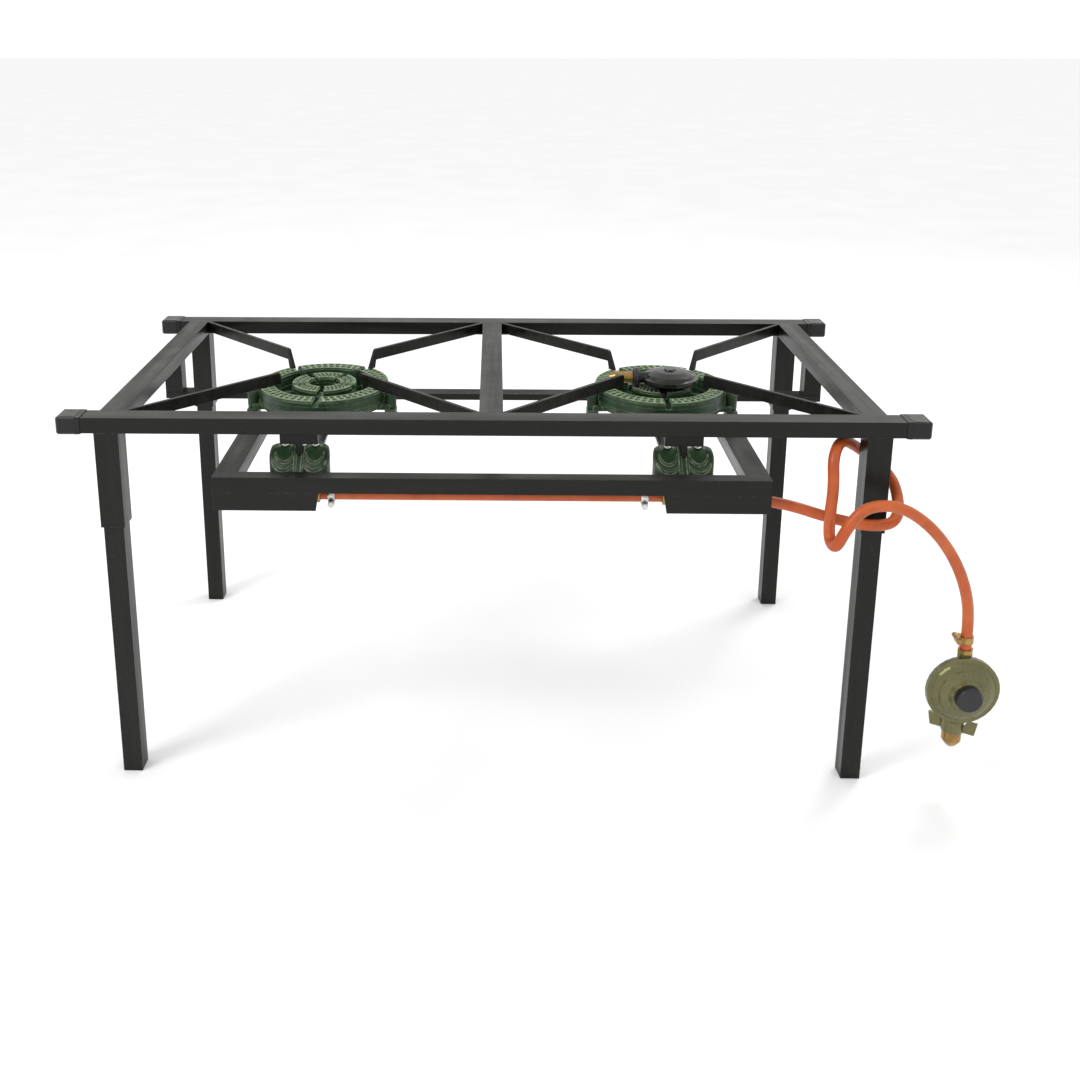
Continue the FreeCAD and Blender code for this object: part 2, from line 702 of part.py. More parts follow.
def route_corner(before, corner, after):
    """The tangent arc at a corner of the route: its start, centre, axis, radius and turn."""
    back = before - corner
    ahead = after - corner
    turn = math.pi - back.getAngle(ahead)
    trim = 0.45 * min(back.Length, ahead.Length)
    radius = trim / math.tan(turn / 2)
    start = corner + back.normalize() * trim
    centre = corner + (back + ahead.normalize()).normalize() * (radius / math.cos(turn / 2))
    return start, centre, ahead.cross(back), radius, turn


def hose_sections(route, ring):
    """The section's corners along straight runs joined by tangent arcs, with the radii and length."""
    points = [Vec(*p) for p in route]
    sections = [ring]
    radii = []
    length = 0
    last = points[0]
    for before, corner, after in zip(points, points[1:], points[2:]):
        start, centre, axis, radius, turn = route_corner(before, corner, after)
        sections.append([p + start - last for p in sections[-1]])
        steps = math.ceil(math.degrees(turn) / hose_step)
        step = FreeCAD.Placement(Vec(0, 0, 0), FreeCAD.Rotation(axis, math.degrees(turn) / steps), centre)
        length += (start - last).Length + radius * turn
        last = start
        for _ in range(steps):
            sections.append([step.multVec(p) for p in sections[-1]])
            last = step.multVec(last)
        radii.append(round(radius, 1))
    sections.append([p + points[-1] - last for p in sections[-1]])
    return sections, radii, length + (points[-1] - last).Length


def supply_hose():
    """The long hose, bored at both ends for the barbs that it is pushed over."""
    at_tap = FreeCAD.Placement(Vec(*hose_points[0]), FreeCAD.Rotation(Z_AXIS, X_AXIS))
    ring = [at_tap.multVec(p) for p in corners_round(hose_radius, bar_sides)]
    sections, radii, length = hose_sections(hose_points, ring)
    print("supply hose: arc radii", radii)
    print("supply hose: length", round(length, 1))
    faces = [flat_face(sections[0]), flat_face(sections[-1])]
    for low, high in zip(sections, sections[1:]):
        faces += [flat_face(list(p)) for p in zip(low, low[1:] + low[:1], high[1:] + high[:1], high)]
    hose = closed_solid(faces)
    exact = flat_face(ring).Area * length
    print("supply hose: volume over section times length", round(hose.Volume / exact, 4))
    bore = barb_radius + hose_fit
    end = hose_points[-1]
    hose = hose.cut(sided_bar(bore, hose_points[0], barb_length + 1, X_AXIS))
    return hose.cut(sided_bar(bore, end, barb_length + 1))


def hose_clamp(centre, axis, screw):
    """A worm-drive clamp: a band round the hose and its screw housing to one side."""
    start = Vec(*centre) - axis * (clamp_width / 2)
    reach = hose_radius + clamp_band
    band = sided_bar(reach, start, clamp_width, axis, small_sides)
    housing = Part.makeBox(clamp_width, clamp_box, clamp_box_height,
                           Vec(-clamp_width / 2, -clamp_box / 2, reach - 2))
    housing = housing.fuse(sided_bar(clamp_screw_radius, (0, -clamp_screw_length / 2 + 1, reach + 3),
                                     clamp_screw_length, Y_AXIS))
    across = axis.cross(screw)
    frame = FreeCAD.Matrix(axis.x, -across.x, screw.x, centre[0],
                           axis.y, -across.y, screw.y, centre[1],
                           axis.z, -across.z, screw.z, centre[2],
                           0, 0, 0, 1)
    housing.Placement = FreeCAD.Placement(frame)
    bore_sides = 2 * bar_sides
    bore = sided_bar(hose_radius / math.cos(math.pi / bore_sides), Vec(*centre) - axis * (clamp_width * 2),
                     clamp_width * 4, axis, bore_sides)
    return band.fuse(housing).cut(bore)


def link_hose():
    """The short hose between the two taps, pushed over a barb at each end."""
    end = gas_x - tap_half
    hose = sided_bar(hose_radius, (-end, gas_y, gas_z), 2 * end, X_AXIS)
    return hose.cut(sided_bar(barb_radius + hose_fit, (-end, gas_y, gas_z), 2 * end, X_AXIS))


def gas_line():
    down = Vec(0, 0, -1)
    for name, side in SIDES:
        save("gas_tap_" + name, gas_tap(side))
        save("tap_knob_" + name, tap_knob(side))
    save("link_hose", link_hose())
    save("supply_hose", supply_hose())
    save("hose_clamps", hose_clamp((-gas_x + tap_half + clamp_near, gas_y, gas_z), X_AXIS, down),
         hose_clamp((gas_x - tap_half - clamp_far, gas_y, gas_z), X_AXIS, down),
         hose_clamp((gas_x + tap_half + clamp_near, gas_y, gas_z), X_AXIS, down))


# ---- regulators --------------------------------------------------------------------------------

def regulator():
    """The hanging regulator: two pressed shells, spring cap, nozzle, inlet with its wing nut."""
    centre = (reg_x, reg_y, reg_z)
    front = Vec(0, -1, 0)
    f = reg_flange
    rim = reg_radius - 5
    deep = reg_dome
    neck = reg_cap_radius + 3
    bonnet = turned([(0, 0), (reg_radius, 0), (reg_radius, f), (rim, f), (rim - 2, f + 2.5),
                     (rim - 8, deep - 11), (rim - 9, deep - 9), (neck + 3, deep - 6), (neck, deep),
                     (0, deep)], centre, front, large_sides)
    save("regulator_bonnet", bonnet)
    crown = deep + reg_cap_depth
    cap = turned([(0, deep), (reg_cap_radius, deep), (reg_cap_radius, crown - 2), (reg_cap_radius - 2, crown),
                  (0, crown)], centre, front, large_sides)
    save("regulator_cap", cap)
    deep = reg_back
    back = turned([(0, 0), (reg_radius, 0), (reg_radius, f), (rim, f), (rim - 3, deep - 10),
                   (rim - 11, deep - 4), (rim - 21, deep), (0, deep)], centre, Y_AXIS, large_sides)
    boss_top = nozzle_z - 6
    upper = sided_bar(9, (nozzle_x, nozzle_y, reg_z + 28), boss_top - reg_z - 28)
    lower = sided_bar(10, (inlet_x, inlet_y, wing_top() + end_play), reg_z - 28 - wing_top() - end_play)
    before = block(reg_x - 60, reg_x + 60, reg_y - 60, reg_y, 0, frame_top)
    save("regulator_body", back.fuse(upper.cut(before)).fuse(lower.cut(before)))
    nut = hexagon(17, (nozzle_x, nozzle_y, boss_top), nozzle_z - boss_top)
    barb = sided_bar(barb_radius, (nozzle_x, nozzle_y, boss_top), nozzle_z + barb_length - boss_top)
    clamp = hose_clamp((nozzle_x, nozzle_y, nozzle_z + clamp_near - 1), Z_AXIS, Vec(-1, 0, 0))
    save("regulator_nozzle", nut.fuse(barb), clamp)


def wing_top():
    """Top of the wing nut, which turns clear under the regulator's flange."""
    return reg_z - reg_radius - end_play


def regulator_inlet():
    """The stem and rounded nose that screw into a cylinder valve, and the wing nut on the stem."""
    high = wing_top() + end_play
    tip = turned([(0, 0), (5, 0), (8, 3), (nose_radius, 9), (0, 9)], (inlet_x, inlet_y, nose_bottom))
    barrel = round_bar(nose_radius, (inlet_x, inlet_y, nose_bottom + 9), nose_length - 9)
    stem = round_bar(stem_radius, (inlet_x, inlet_y, nose_top), high - nose_top)
    save("regulator_nose", tip.multiFuse([barrel, stem]))
    low = nose_top + end_play
    hub = sided_bar(nose_radius + 2, (inlet_x, inlet_y, low), wing_top() - low, Z_AXIS, small_sides)
    half = wing_span / 2
    wings = prism_y([(-half + 3, low), (half - 3, low), (half, wing_top()), (half - 12, wing_top()),
                     (half - 16, low + 9), (16 - half, low + 9), (12 - half, wing_top()),
                     (-half, wing_top())], -wing_plate / 2, wing_plate / 2)
    wings = spin(wings, -wing_turn, 0, 0)
    wings.translate(Vec(inlet_x, inlet_y, 0))
    bore = round_bar(stem_radius + turn_fit, (inlet_x, inlet_y, low), wing_top() - low)
    save("wing_nut", hub.fuse(wings).cut(bore))


def spare_regulator():
    """A second regulator that lies on the right burner."""
    r = spare_radius
    top = spare_height
    body = turned([(0, 0), (21, 0), (28, 6), (34, 9), (r, 9.5), (r, 15.5), (35, 16), (32, 20), (20, 24),
                   (9, 25), (8, top), (0, top)], (spare_x, spare_y, burner_top), Z_AXIS, large_sides)
    half = spare_wheel_width / 2
    seat = spare_wheel_x + half + end_play
    socket = sided_bar(8, (seat, spare_y, spare_axis_z), spare_x - 15 - seat, X_AXIS)
    save("spare_regulator", body.fuse(socket).removeSplitter())
    west = Vec(-1, 0, 0)
    shoulder = spare_wheel_x - half - end_play
    length = shoulder - spare_tip_x
    fitting = turned([(0, 0), (8, 0), (8, length - 8), (4, length), (0, length)],
                     (shoulder, spare_y, spare_axis_z), west)
    stem = round_bar(spare_stem_radius, (shoulder, spare_y, spare_axis_z), seat - shoulder, X_AXIS)
    save("spare_fitting", fitting.fuse(stem))
    r = spare_wheel_radius
    wheel = turned([(0, 0), (r - 2, 0), (r, 2), (r, 2 * half - 2), (r - 2, 2 * half), (0, 2 * half)],
                   (spare_wheel_x - half, spare_y, spare_axis_z), X_AXIS)
    bore = round_bar(spare_stem_radius + turn_fit, (spare_wheel_x - r, spare_y, spare_axis_z), 2 * r, X_AXIS)
    save("spare_handwheel", wheel.cut(bore))


top_frame()
end_caps()
legs()
pot_bars()
carrier()
burners()
mixers()
gas_line()
regulator()
regulator_inlet()
spare_regulator()
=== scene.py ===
"""Stock pot range: finishes, burner heads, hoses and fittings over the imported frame. Metres, unless in mm."""
import json
import math

import bmesh
import bpy
from mathutils import Matrix, Vector

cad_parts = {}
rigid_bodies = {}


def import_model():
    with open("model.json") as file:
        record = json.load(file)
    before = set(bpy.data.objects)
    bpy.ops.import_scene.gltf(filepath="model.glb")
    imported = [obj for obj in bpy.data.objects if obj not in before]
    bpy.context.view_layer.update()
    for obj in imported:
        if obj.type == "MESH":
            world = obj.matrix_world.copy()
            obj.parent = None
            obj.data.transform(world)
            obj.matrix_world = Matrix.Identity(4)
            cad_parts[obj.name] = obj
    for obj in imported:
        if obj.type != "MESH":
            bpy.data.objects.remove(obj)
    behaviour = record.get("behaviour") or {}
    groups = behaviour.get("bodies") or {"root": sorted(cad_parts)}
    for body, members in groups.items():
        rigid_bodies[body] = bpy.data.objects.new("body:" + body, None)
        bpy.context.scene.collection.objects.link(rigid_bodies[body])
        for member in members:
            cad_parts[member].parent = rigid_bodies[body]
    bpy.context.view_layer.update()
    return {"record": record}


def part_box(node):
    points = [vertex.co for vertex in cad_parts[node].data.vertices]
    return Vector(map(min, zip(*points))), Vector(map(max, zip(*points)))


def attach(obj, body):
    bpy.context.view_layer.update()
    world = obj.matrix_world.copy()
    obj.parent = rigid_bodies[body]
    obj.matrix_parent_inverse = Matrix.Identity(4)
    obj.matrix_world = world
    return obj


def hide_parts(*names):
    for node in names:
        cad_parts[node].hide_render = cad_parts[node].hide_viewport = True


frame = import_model()

MM = 0.001
SIDES = ("left", "right")
HOSE_RADIUS = 7.0
HOSE_RUN_OUT = 46.0
HOSE_RUN_IN = 32.0
TAP_REACH = 26.0
CLAMP_NEAR = 14.0
CLAMP_FAR = 22.0
NOZZLE_RISE = 54.0
# Route of the long hose in mm, from where the middle of the side rail meets the front rail's face on top.
HOSE_ROUTE = [
    (-106, 11, -111), (-56, -1, -124), (-6, -17, -129), (27, -13, -123), (33, 24, -93), (25, 50, -79),
    (-12, 46, -48), (-42, 20, -28), (-57, -2, -43), (-56.5, -13, -78), (-60, -18, -111), (-60.5, -22, -143),
    (-59, -47, -145), (-49, -49, -119), (-32, -46, -95), (-8, -44, -88), (20, -42, -93), (52, -36, -115),
    (80, -29, -146), (103, -23, -183), (119, -17, -224)]


# ---- places read from the frame, in mm ---------------------------------------------------------

def corners(node):
    """A node's lowest and highest corners in mm."""
    low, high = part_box(node)
    return Vector(low) / MM, Vector(high) / MM


def middle(node):
    low, high = corners(node)
    return (low + high) / 2


# ---- material helpers --------------------------------------------------------------------------

class Nodes:
    """A material's node tree, with short calls for the nodes that the finishes share."""

    def __init__(self, name):
        self.material = bpy.data.materials.new(name)
        self.material.use_nodes = True
        self.tree = self.material.node_tree
        self.tree.nodes.clear()
        self.shader = self.add("ShaderNodeBsdfPrincipled")
        output = self.add("ShaderNodeOutputMaterial")
        self.link(self.shader.outputs[0], output.inputs[0])
        self.place = self.add("ShaderNodeTexCoord").outputs["Object"]

    def add(self, kind, **settings):
        node = self.tree.nodes.new(kind)
        for key, value in settings.items():
            setattr(node, key, value)
        return node

    def link(self, source, target):
        self.tree.links.new(source, target)

    def feed(self, socket, value):
        """Link a socket, or set a plain value."""
        if isinstance(value, bpy.types.NodeSocket):
            self.link(value, socket)
        else:
            socket.default_value = value

    def noise(self, scale, detail=3.0, rough=0.55, stretch=None):
        node = self.add("ShaderNodeTexNoise")
        node.inputs["Scale"].default_value = scale
        node.inputs["Detail"].default_value = detail
        node.inputs["Roughness"].default_value = rough
        place = self.place
        if stretch:
            mapping = self.add("ShaderNodeMapping")
            mapping.inputs["Scale"].default_value = stretch
            self.link(place, mapping.inputs[0])
            place = mapping.outputs[0]
        self.link(place, node.inputs["Vector"])
        return node.outputs["Fac"]

    def ramp(self, value, low, high, from_value=0.0, to_value=1.0):
        node = self.add("ShaderNodeMapRange")
        self.link(value, node.inputs["Value"])
        settings = {"From Min": low, "From Max": high, "To Min": from_value, "To Max": to_value}
        for key, number in settings.items():
            node.inputs[key].default_value = number
        return node.outputs["Result"]

    def math(self, operation, a, b=0.0):
        node = self.add("ShaderNodeMath", operation=operation)
        self.feed(node.inputs[0], a)
        self.feed(node.inputs[1], b)
        return node.outputs[0]

    def mix(self, factor, a, b):
        node = self.add("ShaderNodeMix", data_type="RGBA")
        self.feed(node.inputs[0], factor)
        self.feed(node.inputs[6], rgba(a))
        self.feed(node.inputs[7], rgba(b))
        return node.outputs[2]

    def rounded(self, width):
        """A normal that rounds every sharp edge by the given width."""
        bevel = self.add("ShaderNodeBevel", samples=6)
        bevel.inputs["Radius"].default_value = width
        return bevel.outputs[0]

    def edges(self, width=0.0015, low=0.03, high=0.25):
        """1 on edges, where paint wears and where a painted edge highlight goes: how far a bevelled normal
        leaves the true one.
        """
        dot = self.add("ShaderNodeVectorMath", operation="DOT_PRODUCT")
        self.link(self.rounded(width), dot.inputs[0])
        self.link(self.add("ShaderNodeNewGeometry").outputs["True Normal"], dot.inputs[1])
        return self.ramp(self.math("SUBTRACT", 1.0, dot.outputs["Value"]), low, high)

    def facing_up(self, low=0.5, high=1.0):
        split = self.add("ShaderNodeSeparateXYZ")
        self.link(self.add("ShaderNodeNewGeometry").outputs["Normal"], split.inputs[0])
        return self.ramp(split.outputs["Z"], low, high)

    def height(self, low, high):
        """0 below one height and 1 above another, in mm over the floor."""
        split = self.add("ShaderNodeSeparateXYZ")
        self.link(self.place, split.inputs[0])
        return self.ramp(split.outputs["Z"], low * MM, high * MM)

    def bump(self, height, strength=0.2, distance=0.0005, below=None):
        node = self.add("ShaderNodeBump")
        node.inputs["Strength"].default_value = strength
        node.inputs["Distance"].default_value = distance
        self.link(height, node.inputs["Height"])
        if below:
            self.link(below, node.inputs["Normal"])
        return node.outputs[0]

    def finish(self, color, rough, metal=0.0, normal=None, coat=0.0, coat_rough=0.1, specular=0.5):
        pins = self.shader.inputs
        self.feed(pins["Base Color"], rgba(color))
        self.feed(pins["Roughness"], rough)
        self.feed(pins["Metallic"], metal)
        pins["Coat Weight"].default_value = coat
        pins["Coat Roughness"].default_value = coat_rough
        pins["Specular IOR Level"].default_value = specular
        if normal:
            self.link(normal, pins["Normal"])
            self.link(normal, pins["Coat Normal"])
        return self.material


def rgba(value):
    return (*value, 1.0) if isinstance(value, tuple) and len(value) == 3 else value


# ---- finishes ----------------------------------------------------------------------------------

def black_paint(name="black_paint", along=(1.0, 1.0, 1.0)):
    """Gloss black paint on tube: lengthwise streaks in roughness with painted sheen, orange peel, dust on top,
    thin worn edges with a painted edge highlight.
    """
    n = Nodes(name)
    streak_and_sheen = n.noise(60, 4, 0.6, along)
    dust = n.math("MULTIPLY", n.facing_up(0.6, 1.0), n.ramp(n.noise(26, 5), 0.35, 0.75))
    color = n.mix(n.math("MULTIPLY", dust, 0.40), (0.0042, 0.0046, 0.0034), (0.075, 0.066, 0.056))
    # Painted sheen: lighter streaks along the tube, where the gloss runs.
    color = n.mix(n.math("MULTIPLY", n.ramp(streak_and_sheen, 0.45, 0.75), 0.35), color, (0.020, 0.019, 0.013))
    # Painted edge highlight, with some wear: lighter colour along the rounded edges.
    wear_and_edge_highlight = n.math("MULTIPLY", n.edges(0.0012), n.ramp(n.noise(120, 4), 0.48, 0.62))
    color = n.mix(n.math("MULTIPLY", wear_and_edge_highlight, 0.45), color, (0.16, 0.15, 0.13))
    speck = n.ramp(n.noise(520, 1), 0.70, 0.76)
    color = n.mix(n.math("MULTIPLY", speck, 0.30), color, (0.12, 0.11, 0.09))
    rough = n.math("ADD", n.ramp(streak_and_sheen, 0.3, 0.7, 0.24, 0.46), n.math("MULTIPLY", dust, 0.18))
    normal = n.bump(n.noise(420, 2), 0.12, 0.0003, n.bump(streak_and_sheen, 0.25, 0.0006, n.rounded(0.0018)))
    return n.finish(color, rough, normal=normal, specular=0.26)


def cap_plastic():
    n = Nodes("cap_plastic")
    dust = n.math("MULTIPLY", n.facing_up(0.5, 1.0), n.ramp(n.noise(60, 5), 0.35, 0.7))
    color = n.mix(n.math("MULTIPLY", dust, 0.5), (0.006, 0.006, 0.006), (0.075, 0.064, 0.052))
    rough = n.ramp(n.noise(90, 3), 0.3, 0.7, 0.26, 0.40)
    normal = n.bump(n.noise(700, 2), 0.10, 0.0002, n.rounded(0.0022))
    return n.finish(color, rough, normal=normal, specular=0.35)


def green_paint(name="green_paint", proud=None, highlight_chalk_color=(0.27, 0.36, 0.21)):
    """Green paint on a sand casting: pitted, dark green base, with a painted highlight and chalky wear on edges
    and on what stands proud.
    """
    n = Nodes(name)
    patches = n.ramp(n.noise(38, 5), 0.35, 0.7)
    color = n.mix(patches, (0.005, 0.020, 0.006), (0.016, 0.052, 0.016))
    # Painted highlight, with some chalky wear: pale colour on the edges, and on what stands above the heights
    # given in proud.
    highlight_and_chalk = n.math("MULTIPLY", n.edges(0.0018, 0.02, 0.2), n.ramp(n.noise(160, 4), 0.30, 0.6))
    if proud:
        raised_highlight = n.math("MULTIPLY", n.height(*proud), n.ramp(n.noise(90, 4), 0.25, 0.55, 0.35, 1.0))
        highlight_and_chalk = n.math("MAXIMUM", highlight_and_chalk, raised_highlight)
    color = n.mix(n.math("MULTIPLY", highlight_and_chalk, 0.85), color, highlight_chalk_color)
    rough = n.ramp(n.noise(60, 4), 0.3, 0.7, 0.30, 0.50)
    waves = n.bump(n.noise(110, 3), 0.30, 0.0010, n.rounded(0.001))
    normal = n.bump(n.noise(520, 4, 0.7), 0.40, 0.0006, waves)
    return n.finish(color, rough, normal=normal, specular=0.4)


def brass():
    n = Nodes("brass")
    stain = n.ramp(n.noise(70, 5), 0.35, 0.75)
    color = n.mix(stain, (0.42, 0.27, 0.09), (0.20, 0.11, 0.04))
    rough = n.ramp(n.noise(180, 3), 0.3, 0.7, 0.22, 0.42)
    return n.finish(color, rough, 1.0, n.bump(n.noise(900, 2), 0.08, 0.0002, n.rounded(0.0006)))


def orange_rubber():
    """Extruded hose: satin, a little faded, with dirt in faint patches."""
    n = Nodes("orange_rubber")
    faded = n.ramp(n.noise(14, 3), 0.35, 0.7)
    color = n.mix(faded, (0.42, 0.066, 0.011), (0.56, 0.125, 0.026))
    dirt = n.math("MULTIPLY", n.ramp(n.noise(45, 5), 0.48, 0.8), 0.6)
    color = n.mix(dirt, color, (0.27, 0.050, 0.016))
    rough = n.ramp(n.noise(60, 3), 0.3, 0.7, 0.30, 0.44)
    return n.finish(color, rough, normal=n.bump(n.noise(650, 3), 0.12, 0.0003), specular=0.4)


def gold_paint():
    """Metallic olive-gold hammered paint."""
    n = Nodes("gold_paint")
    flake = n.ramp(n.noise(2600, 1), 0.40, 0.65)
    color = n.mix(flake, (0.085, 0.080, 0.032), (0.260, 0.245, 0.115))
    shade = n.ramp(n.noise(30, 3), 0.3, 0.7)
    color = n.mix(n.math("MULTIPLY", shade, 0.45), color, (0.060, 0.064, 0.028))
    rough = n.ramp(n.noise(50, 3), 0.3, 0.7, 0.26, 0.38)
    normal = n.bump(n.noise(300, 2), 0.16, 0.0005, n.rounded(0.0008))
    return n.finish(color, rough, 0.80, normal, coat=0.25, coat_rough=0.12)


def dark_enamel():
    n = Nodes("dark_enamel")
    rough = n.ramp(n.noise(60, 4), 0.3, 0.7, 0.10, 0.22)
    normal = n.bump(n.noise(140, 3), 0.08, 0.0004, n.rounded(0.001))
    return n.finish((0.010, 0.011, 0.009), rough, normal=normal, specular=0.35)


def black_plastic():
    n = Nodes("black_plastic")
    rough = n.ramp(n.noise(90, 3), 0.3, 0.7, 0.38, 0.52)
    normal = n.bump(n.noise(900, 2), 0.15, 0.0002, n.rounded(0.0006))
    return n.finish((0.009, 0.009, 0.011), rough, normal=normal)


def bright_steel():
    n = Nodes("bright_steel")
    stain = n.ramp(n.noise(120, 4), 0.4, 0.75)
    color = n.mix(stain, (0.66, 0.66, 0.64), (0.40, 0.38, 0.34))
    rough = n.ramp(n.noise(200, 3), 0.3, 0.7, 0.20, 0.36)
    return n.finish(color, rough, 1.0, n.bump(n.noise(1200, 2), 0.06, 0.0002, n.rounded(0.0005)))


FINISHES = {make.__name__: make() for make in (black_paint, cap_plastic, green_paint, brass, orange_rubber,
                                               gold_paint, dark_enamel, black_plastic, bright_steel)}
ALONG_X = black_paint("black_paint_x", (0.06, 1.0, 1.0))
ALONG_Y = black_paint("black_paint_y", (1.0, 0.06, 1.0))
ALONG_Z = black_paint("black_paint_z", (1.0, 1.0, 0.06))


def dress_nodes():
    """Give every CAD node the finish of its slot; tubes get streaks of roughness and painted sheen along their
    length.
    """
    for part in frame["record"]["subparts"]:
        node = bpy.data.objects[part["node"]]
        finish = FINISHES[part["material_slot"]]
        if part["material_slot"] == "black_paint":
            low, high = corners(part["node"])
            size = list(high - low)
            longest = size.index(max(size))
            bar = part["node"].startswith("pot_bar")
            finish = finish if bar else (ALONG_X, ALONG_Y, ALONG_Z)[longest]
        node.data.materials.clear()
        node.data.materials.append(finish)


# ---- mesh helpers ------------------------------------------------------------------------------

# Turns that lay a form made along Z along another axis.
AXES = {"X": Matrix(((0, 0, 1), (1, 0, 0), (0, 1, 0))),
        "Y": Matrix(((1, 0, 0), (0, 0, 1), (0, -1, 0))),
        "-Y": Matrix(((1, 0, 0), (0, 0, -1), (0, 1, 0))),
        "Z": Matrix.Identity(3)}


class Piece:
    """One piece of the scene, gathered in mm from simple forms, then given a finish and a body."""

    def __init__(self):
        self.bm = bmesh.new()

    def add(self, verts, faces, at=(0, 0, 0), axis="Z", turn=0.0):
        """Add verts and faces, turned about Z, laid along an axis and moved."""
        place = AXES[axis] @ Matrix.Rotation(math.radians(turn), 3, "Z")
        made = [self.bm.verts.new(place @ Vector(v) + Vector(at)) for v in verts]
        for face in faces:
            self.bm.faces.new([made[i] for i in face])

    def lathe(self, profile, at=(0, 0, 0), axis="Z", steps=64, start=0.0, sweep=360.0):
        """A closed profile of (radius, height) turned about an axis, or through part of a turn."""
        whole = sweep > 359.9
        rows = steps if whole else steps + 1
        verts = []
        for i in range(rows):
            angle = math.radians(start + sweep * i / steps)
            verts += [(r * math.cos(angle), r * math.sin(angle), h) for r, h in profile]
        count = len(profile)
        faces = []
        for i in range(steps):
            j = (i + 1) % rows
            for a in range(count):
                b = (a + 1) % count
                if profile[a][0] + profile[b][0] > 0:
                    faces.append((i * count + a, j * count + a, j * count + b, i * count + b))
        if not whole:
            faces.append(tuple(range(count))[::-1])
            faces.append(tuple(range(steps * count, rows * count)))
        self.add(verts, faces, at, axis)

    def block(self, low, high, draft=0.0, at=(0, 0, 0), axis="Z", turn=0.0):
        """A box whose top is smaller all round by the draft."""
        (x0, y0, z0), (x1, y1, z1) = low, high
        d = draft
        verts = [(x0, y0, z0), (x1, y0, z0), (x1, y1, z0), (x0, y1, z0),
                 (x0 + d, y0 + d, z1), (x1 - d, y0 + d, z1), (x1 - d, y1 - d, z1), (x0 + d, y1 - d, z1)]
        faces = [(3, 2, 1, 0), (4, 5, 6, 7), (0, 1, 5, 4), (1, 2, 6, 5), (2, 3, 7, 6), (3, 0, 4, 7)]
        self.add(verts, faces, at, axis, turn)

    def prism(self, outline, low, high, at=(0, 0, 0), axis="Z", turn=0.0):
        """An outline of (x, y) carried from one height to another."""
        n = len(outline)
        verts = [(x, y, low) for x, y in outline] + [(x, y, high) for x, y in outline]
        faces = [tuple(range(n))[::-1], tuple(range(n, 2 * n))]
        faces += [(i, (i + 1) % n, n + (i + 1) % n, n + i) for i in range(n)]
        self.add(verts, faces, at, axis, turn)

    def hexagon(self, across, low, high, at, axis="Z"):
        """A hexagonal head, chamfered at its far end."""
        r = across / math.sqrt(3)
        rings = ((r, low), (r, high - 0.8), (r * 0.90, high))
        verts = [(k * math.cos(math.pi * i / 3), k * math.sin(math.pi * i / 3), h) for k, h in rings
                 for i in range(6)]
        faces = [tuple(range(6))[::-1], tuple(range(12, 18))]
        for row in (0, 6):
            faces += [(row + i, row + (i + 1) % 6, row + 6 + (i + 1) % 6, row + 6 + i) for i in range(6)]
        self.add(verts, faces, at, axis)

    def tube(self, points, radii, sides=12):
        """A round bar through points, with a radius at each."""
        points = [Vector(p) for p in points]
        last = len(points) - 1
        side = None
        verts = []
        for i, point in enumerate(points):
            ahead = (points[min(i + 1, last)] - points[max(i - 1, 0)]).normalized()
            side = ahead.orthogonal() if side is None else side - ahead * side.dot(ahead)
            side = side.normalized()
            up = ahead.cross(side)
            for k in range(sides):
                angle = 2 * math.pi * k / sides
                verts.append(point + (side * math.cos(angle) + up * math.sin(angle)) * radii[i])
        faces = [tuple(range(sides))[::-1], tuple(range(len(verts) - sides, len(verts)))]
        for row in range(last):
            for k in range(sides):
                a, b = row * sides + k, row * sides + (k + 1) % sides
                faces.append((a, b, b + sides, a + sides))
        self.add(verts, faces)

    def make(self, name, slot, body="frame", nodes=(), finish=None, bevel=0.0, sharp=35.0):
        """Turn the forms into an object that rides on a body and stands for its CAD nodes."""
        bmesh.ops.remove_doubles(self.bm, verts=self.bm.verts, dist=0.0005)
        bmesh.ops.recalc_face_normals(self.bm, faces=self.bm.faces)
        if bevel:
            hard = [e for e in self.bm.edges if len(e.link_faces) == 2
                    and e.calc_face_angle(0.0) > math.radians(sharp)]
            bmesh.ops.bevel(self.bm, geom=hard, offset=bevel, segments=2, profile=0.5, affect="EDGES",
                            clamp_overlap=True)
        bmesh.ops.scale(self.bm, vec=(MM, MM, MM), verts=self.bm.verts)
        mesh = bpy.data.meshes.new(name)
        self.bm.to_mesh(mesh)
        self.bm.free()
        mesh.polygons.foreach_set("use_smooth", [True] * len(mesh.polygons))
        mesh.set_sharp_from_angle(angle=math.radians(sharp))
        mesh.materials.append(finish or FINISHES[slot])
        made = bpy.data.objects.new(name, mesh)
        bpy.context.collection.objects.link(made)
        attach(made, body)
        if nodes:
            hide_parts(*nodes)
        return made


# ---- hoses -------------------------------------------------------------------------------------

def supply_hose():
    """The long hose: a smooth curve through the same points as its solid."""
    knob = middle("tap_knob_right")
    sleeve = middle("leg_sleeve_front_right")
    rail = corners("front_rail")
    nozzle = middle("regulator_nose")
    line = middle("link_hose")
    start = Vector((knob.x + TAP_REACH, line.y, line.z))
    seat = Vector((nozzle.x + 5.0, nozzle.y - 2.0, middle("regulator_bonnet").z + NOZZLE_RISE))
    origin = Vector((sleeve.x, rail[0].y, rail[1].z))
    points = [start, start + Vector((HOSE_RUN_OUT, 0, 0))]
    points += [origin + Vector(step) for step in HOSE_ROUTE]
    points += [seat + Vector((0, 0, HOSE_RUN_IN)), seat]
    data = bpy.data.curves.new("supply_hose_soft", "CURVE")
    data.dimensions = "3D"
    spline = data.splines.new("NURBS")
    spline.points.add(len(points) - 1)
    for point, place in zip(spline.points, points):
        point.co = (*(place * MM), 1.0)
    spline.order_u = 3
    spline.use_endpoint_u = True
    spline.resolution_u = 10
    data.bevel_depth = HOSE_RADIUS * MM
    data.bevel_resolution = 6
    data.materials.append(FINISHES["orange_rubber"])
    hose = bpy.data.objects.new("supply_hose_soft", data)
    bpy.context.collection.objects.link(hose)
    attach(hose, "frame")
    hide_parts("supply_hose")
    return hose, start


